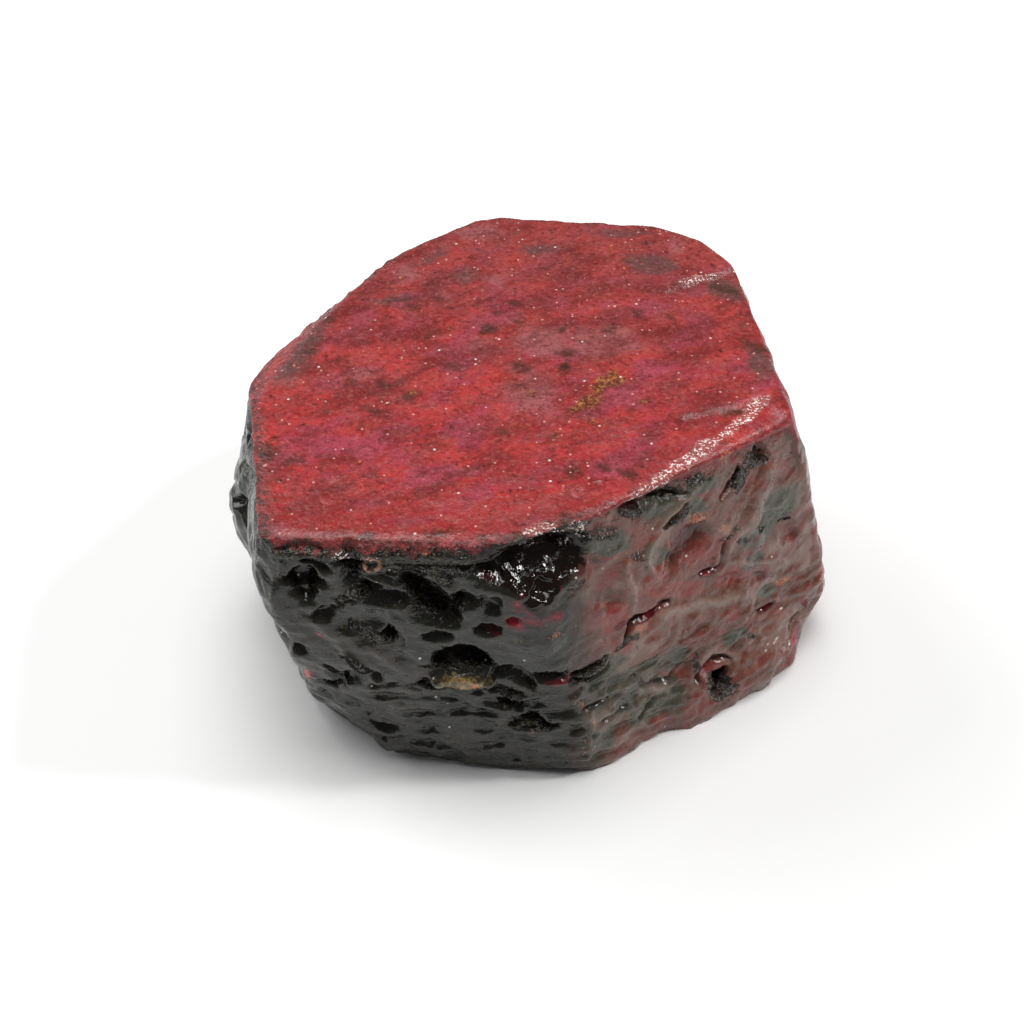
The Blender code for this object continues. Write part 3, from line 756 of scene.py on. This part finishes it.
def dots(size, shift, radius, share):
    """1 on small round dots, in a share of cells that are size millimetres apart."""
    cells = add("ShaderNodeTexVoronoi", (("Vector", pattern_place(size, shift)), ("Scale", 1.0)))
    round_dot = spread(cells.outputs["Distance"], radius * 0.6, radius, 1.0, 0.0)
    chance = add("ShaderNodeSeparateColor", (("Color", cells.outputs["Color"]),)).outputs[0]
    return sums("MULTIPLY", round_dot, sums("LESS_THAN", chance, share))


def torn(name, size, shift, soft=0.07, reach=0.45, **placing):
    """1 inside the patches kept under a name, whose rims are broken by waves of a size."""
    broken = waves(size, shift, detail=6.0, roughness=0.7, **placing)
    return spread(sums("ADD", sums("MULTIPLY", stored(name), reach), broken), 0.70 - soft, 0.70 + soft)


# The red ends: crimson, with streaks of bright red and magenta pink along the growth lines.
CRIMSON, BRIGHT_RED, MAGENTA_PINK = (0.34, 0.026, 0.030), (0.49, 0.038, 0.035), (0.39, 0.048, 0.086)
DEEP_RED, BROWN_RED, PALE_PINK = (0.14, 0.014, 0.013), (0.22, 0.060, 0.050), (0.55, 0.17, 0.15)
SHEEN_GREY_ROSE, SLATE_BROWN = (0.35, 0.105, 0.105), (0.120, 0.058, 0.056)
BROWN_BLACK, BROKEN_BROWN = (0.040, 0.020, 0.011), (0.050, 0.012, 0.008)
FRONT_RED, PINK_GRAIN_AND_GLINT, ORANGE_GRAIN = (0.22, 0.012, 0.011), (0.85, 0.45, 0.40), (0.75, 0.28, 0.08)
GROWTH = {"turn": 30, "stretch": (1.8, 1, 1)}
red_streaks = spread(waves(1.9, 0.0, roughness=0.7, **GROWTH), 0.40, 0.60)
pink_streaks = spread(waves(1.8, 7.0, roughness=0.7, **GROWTH), 0.48, 0.64, 0.0, 0.8)
end_colour = blend(red_streaks, CRIMSON, BRIGHT_RED)
end_colour = blend(pink_streaks, end_colour, MAGENTA_PINK)
end_colour = lay(end_colour, BRIGHT_RED, torn("bright", 1.2, 11.0, 0.20, 0.60, **GROWTH), 0.85)
end_colour = lay(end_colour, MAGENTA_PINK, torn("magenta", 1.2, 13.0, 0.20, 0.60, **GROWTH), 0.90)
end_colour = lay(end_colour, BROWN_RED, stored("back"), 0.40)
end_colour = lay(end_colour, FRONT_RED, stored("front"), 0.55)
# Broad milky grey-rose patches over the red: painted sheen.
end_colour = lay(end_colour, SHEEN_GREY_ROSE, torn("painted_sheen_haze", 1.2, 37.0, 0.26, 0.50), 0.90)
deep_streaks = spread(waves(1.5, 15.0, detail=8.0, roughness=0.66, **GROWTH), 0.44, 0.64, 0.0, 0.75)
end_colour = blend(deep_streaks, end_colour, DEEP_RED)
end_colour = lay(end_colour, SLATE_BROWN, torn("slate", 0.9, 41.0, 0.26, 0.55), 0.9)
pale_grain = spread(waves(0.24, 23.0, detail=5.0, roughness=0.75), 0.50, 0.72, 0.0, 0.60)
end_colour = blend(pale_grain, end_colour, PALE_PINK)
deep_grain = spread(waves(0.22, 3.0, detail=3.0), 0.48, 0.72, 0.0, 0.75)
end_colour = blend(deep_grain, end_colour, DEEP_RED)
darkness = spread(stored("dark"), 0.5, 1.3, 0.62, 0.95)
end_colour = lay(end_colour, BROWN_BLACK, torn("dark", 0.42, 31.0, 0.18, 0.46), darkness)
# Pale pink specks all over the ends: partly grain, partly painted tiny glints.
end_colour = lay(end_colour, PINK_GRAIN_AND_GLINT, dots(0.36, 0.0, 0.19, 0.20), 0.7)
end_colour = lay(end_colour, ORANGE_GRAIN, dots(0.50, 5.0, 0.16, 0.06), 0.8)
crumbs = stored("crumbs")
crumb_shade = spread(waves(0.34, 29.0, detail=5.0, roughness=0.75), 0.46, 0.56)
dark_crumbs = sums("MULTIPLY", crumbs, crumb_shade)
end_colour = lay(end_colour, BROKEN_BROWN, dark_crumbs, 0.85)
# A pale pink sheen is painted around the glints on the rims, chip edges and growth steps.
end_colour = lay(end_colour, PALE_PINK, torn("glints_painted_and_faceted", 0.4, 21.0, 0.20), 0.35)

# The sides: nearly black rind, thinning to a waxy skin of mauve grey, green grey and dusty pink.
RIND, GREY_RIND, SOOT_BLACK = (0.016, 0.017, 0.013), (0.042, 0.043, 0.036), (0.010, 0.009, 0.007)
MAUVE_GREY, ROSE_GREY, DUSTY_PINK = (0.142, 0.058, 0.041), (0.220, 0.053, 0.043), (0.270, 0.044, 0.038)
GREEN_GREY, OLIVE_SOOT = (0.056, 0.072, 0.050), (0.090, 0.070, 0.024)
GREY_GRAIN_AND_HIGHLIGHT, HOLLOW_PAINTED_SHADE = (0.31, 0.22, 0.18), (0.008, 0.004, 0.003)
WINDOW_RED, DARK_WINDOW = (0.42, 0.012, 0.030), (0.10, 0.005, 0.010)
skin = blend(spread(waves(1.1, 41.0, roughness=0.7), 0.40, 0.62), MAUVE_GREY, ROSE_GREY)
far_side = stored("far_side")
far_pink = spread(waves(1.7, 63.0, detail=6.0, roughness=0.7), 0.50, 0.58)
far_green = spread(waves(1.9, 65.0, detail=6.0, roughness=0.7), 0.50, 0.58)
pink_share = sums("MAXIMUM", torn("pink", 0.7, 43.0, 0.16, 0.55), sums("MULTIPLY", far_pink, far_side))
green_share = sums("MAXIMUM", torn("green", 0.7, 45.0, 0.16, 0.62), sums("MULTIPLY", far_green, far_side))
skin = lay(skin, DUSTY_PINK, pink_share, 0.85)
skin = lay(skin, GREEN_GREY, green_share, 0.9)
dark_grain = spread(waves(0.35, 47.0, detail=6.0, roughness=0.75), 0.54, 0.72, 0.0, 0.7)
skin = blend(dark_grain, skin, SOOT_BLACK)
grey_grain = spread(waves(0.30, 49.0, detail=6.0, roughness=0.75), 0.52, 0.74, 0.0, 0.55)
skin = blend(grey_grain, skin, GREY_GRAIN_AND_HIGHLIGHT)
# Painted reflections: pale grey streaks and spots on the skin.
skin = lay(skin, GREY_GRAIN_AND_HIGHLIGHT, torn("pale", 0.45, 51.0, 0.20), 0.62)
rind = blend(spread(waves(1.6, 53.0, roughness=0.7), 0.50, 0.75), RIND, GREY_RIND)
light_share = stored("light_side")
side_colour = blend(light_share, rind, skin)
window_colour = blend(spread(stored("window"), 0.75, 1.15), DARK_WINDOW, WINDOW_RED)
side_colour = lay(side_colour, window_colour, torn("window", 0.22, 61.0, 0.08), 0.95)
# A pale grey highlight is painted along the crests and scallop rims, stronger on the skin than on the rind.
side_colour = lay(side_colour, GREY_GRAIN_AND_HIGHLIGHT, stored("crest"), spread(light_share, 0.0, 1.0, 0.10, 0.7))
soot_share = torn("soot", 0.35, 77.0, 0.10, 0.50)
soot_colour = blend(spread(waves(0.14, 79.0, detail=2.0), 0.54, 0.66), SOOT_BLACK, OLIVE_SOOT)
side_colour = lay(side_colour, soot_colour, soot_share, 0.92)
# Hollows are darkened towards near black by their depth: painted shade in the recesses.
side_colour = blend(spread(stored("hollow"), 0.12, 0.50, 0.0, 0.85), side_colour, HOLLOW_PAINTED_SHADE)

# The rim where the rind begins is torn.
torn_rim = sums("MULTIPLY", sums("SUBTRACT", waves(0.7, 71.0, detail=7.0, roughness=0.72), 0.5), 2.6)
on_end = spread(sums("ADD", stored("red_edge"), torn_rim), -0.10, 0.10)
colour = blend(on_end, side_colour, end_colour)

# Gold specks are rusty on the end and olive on the side, and orange ones lie in the skin.
OLIVE_BROWN, OLIVE_GOLD = (0.085, 0.055, 0.022), (0.46, 0.32, 0.12)
RUST_BROWN, RUSTY_GOLD, RUST_ORANGE = (0.085, 0.022, 0.012), (0.50, 0.21, 0.06), (0.62, 0.20, 0.09)
olive_share = spread(waves(0.34, 81.0, detail=8.0, roughness=0.8), 0.44, 0.62)
rusty_share = spread(waves(0.24, 81.0, detail=8.0, roughness=0.8), 0.46, 0.60)
side_gold = blend(olive_share, OLIVE_BROWN, OLIVE_GOLD)
end_gold = blend(rusty_share, RUST_BROWN, RUSTY_GOLD)
colour = lay(colour, blend(on_end, side_gold, end_gold), torn("gold", 0.20, 83.0, 0.16, 0.36), 0.85)
colour = lay(colour, RUST_ORANGE, torn("orange", 0.12, 85.0, 0.07, 0.20), 0.85)

# The broken chip is brown black with deep red in it; its near-black colour is partly painted shade in the
# hollow of the chip. Broken edges glitter.
CHIP_BLACK_AND_SHADE, CHIP_RED, PAINTED_GLINT_WHITE = (0.010, 0.005, 0.003), (0.10, 0.005, 0.007), (1.0, 0.86, 0.80)
chip_red = spread(waves(0.30, 87.0, detail=5.0, roughness=0.75), 0.60, 0.70, 0.0, 0.7)
chip_share = spread(sums("ADD", stored("chip"), torn_rim), 0.20, 0.60)
colour = blend(chip_share, colour, blend(chip_red, CHIP_BLACK_AND_SHADE, CHIP_RED))
# Near-white glints are painted on the broken edges, the rims and the growth steps: painted highlights.
painted_glint_noise = spread(waves(0.13, 19.0, detail=2.0), 0.54, 0.60)
colour = lay(colour, PAINTED_GLINT_WHITE, painted_glint_noise, spread(stored("glints_painted_and_faceted"), 0.15, 0.8))

# The ring of the burst bubble, with gaps in it, and dust on the wax.
RING_RADIUS = 0.33
RING_PINK, DUST_WHITE = (0.48, 0.22, 0.13), (0.80, 0.77, 0.70)
ring_ends = ((0, object_place), (1, ring_middle))
from_ring = add("ShaderNodeVectorMath", ring_ends, operation="DISTANCE").outputs["Value"]
off_ring = sums("ABSOLUTE", sums("SUBTRACT", sums("DIVIDE", from_ring, MM), RING_RADIUS), 0.0)
ring_gaps = spread(waves(0.25, 67.0), 0.36, 0.52)
ring = sums("MULTIPLY", spread(off_ring, 0.04, 0.12, 1.0, 0.0), ring_gaps)
colour = lay(colour, RING_PINK, ring, 0.8)
colour = lay(colour, DUST_WHITE, dots(0.55, 9.0, 0.14, 0.12), 0.8)
tree.links.new(colour, shader.inputs["Base Color"])

# The gloss: wax fills the sides to a smooth shine, and the ends are frosted under it.
crumbled = sums("MULTIPLY", soot_share, sums("SUBTRACT", 1.0, stored("chip")))
rough = sums("ADD", spread(on_end, 0.0, 1.0, 0.11, 0.24), spread(waves(0.9, 91.0), 0.4, 0.7, -0.02, 0.10))
rough = sums("ADD", rough, sums("MULTIPLY", crumbled, 0.06))
rough = sums("ADD", rough, sums("MULTIPLY", sums("MULTIPLY", crumbs, on_end), 0.22))
rough = sums("SUBTRACT", rough, sums("MULTIPLY", stored("glints_painted_and_faceted"), 0.16))
rough = sums("SUBTRACT", rough, sums("MULTIPLY", stored("chip"), 0.04))
tree.links.new(rough, shader.inputs["Roughness"])
WAX_IOR = 1.48
shader.inputs["IOR"].default_value = WAX_IOR

# The fine relief: grain on the ends and in the soot, and small ripples in the wax on the sides.
grain_share = sums("MAXIMUM", on_end, sums("MULTIPLY", crumbled, 0.4))
grain_strength = spread(grain_share, 0.0, 1.0, 0.25, 0.6)
grain = add("ShaderNodeBump", (("Strength", grain_strength), ("Distance", 0.08 * MM),
                               ("Height", waves(0.20, 97.0, detail=3.0))))
facet_share = sums("MAXIMUM", spread(stored("glints_painted_and_faceted"), 0.1, 0.8), sums("MULTIPLY", crumbs, 0.85))
facets = add("ShaderNodeBump", (("Strength", facet_share), ("Distance", 0.22 * MM),
                                ("Height", waves(0.26, 99.0, detail=2.0)), ("Normal", grain.outputs[0])))
ripple_strength = spread(on_end, 0.0, 1.0, 0.8, 0.2)
ripples = add("ShaderNodeBump", (("Strength", ripple_strength), ("Distance", 0.12 * MM),
                                 ("Height", waves(0.60, 101.0, detail=4.0, stretch=(2.4, 2.4, 1))),
                                 ("Normal", facets.outputs[0])))

# Where it is crumbled, the side falls back in fine ledges that face up.
ledge_place = (("Vector", pattern_place(0.42, 0.0)), ("Scale", 1.0), ("Distortion", 5.0), ("Detail", 3.0),
               ("Detail Scale", 1.4), ("Detail Roughness", 0.6))
ledge_wave = add("ShaderNodeTexWave", ledge_place, bands_direction="Z", wave_profile="SAW")
ledge_strength = sums("MULTIPLY", sums("MULTIPLY", crumbled, stored("steep")), 0.9)
fine_ledges = add("ShaderNodeBump", (("Strength", ledge_strength), ("Distance", 0.20 * MM),
                                     ("Height", ledge_wave.outputs["Fac"]), ("Normal", ripples.outputs[0])),
                  invert=True)
tree.links.new(fine_ledges.outputs[0], shader.inputs["Normal"])
stone.data.materials.clear()
stone.data.materials.append(ruby)
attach(stone, "root")
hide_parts("ruby_crystal")

# ---------------------------------------------------------------------------------------------
# The stage: a plain pale table under soft studio lights, with dark surroundings.
# ---------------------------------------------------------------------------------------------
bpy.ops.object.select_all(action="DESELECT")
bpy.ops.mesh.primitive_plane_add(size=1.2)
floor = bpy.context.object
floor.name = "floor"
paint = bpy.data.materials.new("pale_table")
paint.use_nodes = True
paint.node_tree.nodes["Principled BSDF"].inputs["Base Color"].default_value = (0.95, 0.95, 0.94, 1.0)
paint.node_tree.nodes["Principled BSDF"].inputs["Roughness"].default_value = 0.7
floor.data.materials.append(paint)


def soft_light(name, azimuth, elevation, distance, size, watts):
    """A round white lamp that faces the stone."""
    outward, _ = bearing(azimuth)
    up = math.radians(elevation)
    place = Vector(outward * math.cos(up) + np.array((0, 0, math.sin(up)))) * distance
    bpy.ops.object.light_add(type="AREA", location=place, rotation=place.to_track_quat("Z", "Y").to_euler())
    lamp = bpy.context.object
    lamp.name = name
    lamp.data.shape = "DISK"
    lamp.data.size = size
    lamp.data.energy = watts


soft_light("key_lamp", azimuth=2, elevation=48, distance=0.40, size=0.05, watts=0.45)
soft_light("overhead_lamp", azimuth=90, elevation=86, distance=0.60, size=0.45, watts=2.7)
soft_light("fill_lamp", azimuth=150, elevation=32, distance=0.50, size=0.40, watts=1.3)

world = bpy.data.worlds.new("dim_room")
world.use_nodes = True
world.node_tree.nodes["Background"].inputs["Color"].default_value = (0.09, 0.09, 0.095, 1.0)
bpy.context.scene.world = world
bpy.context.scene.view_settings.view_transform = "Standard"
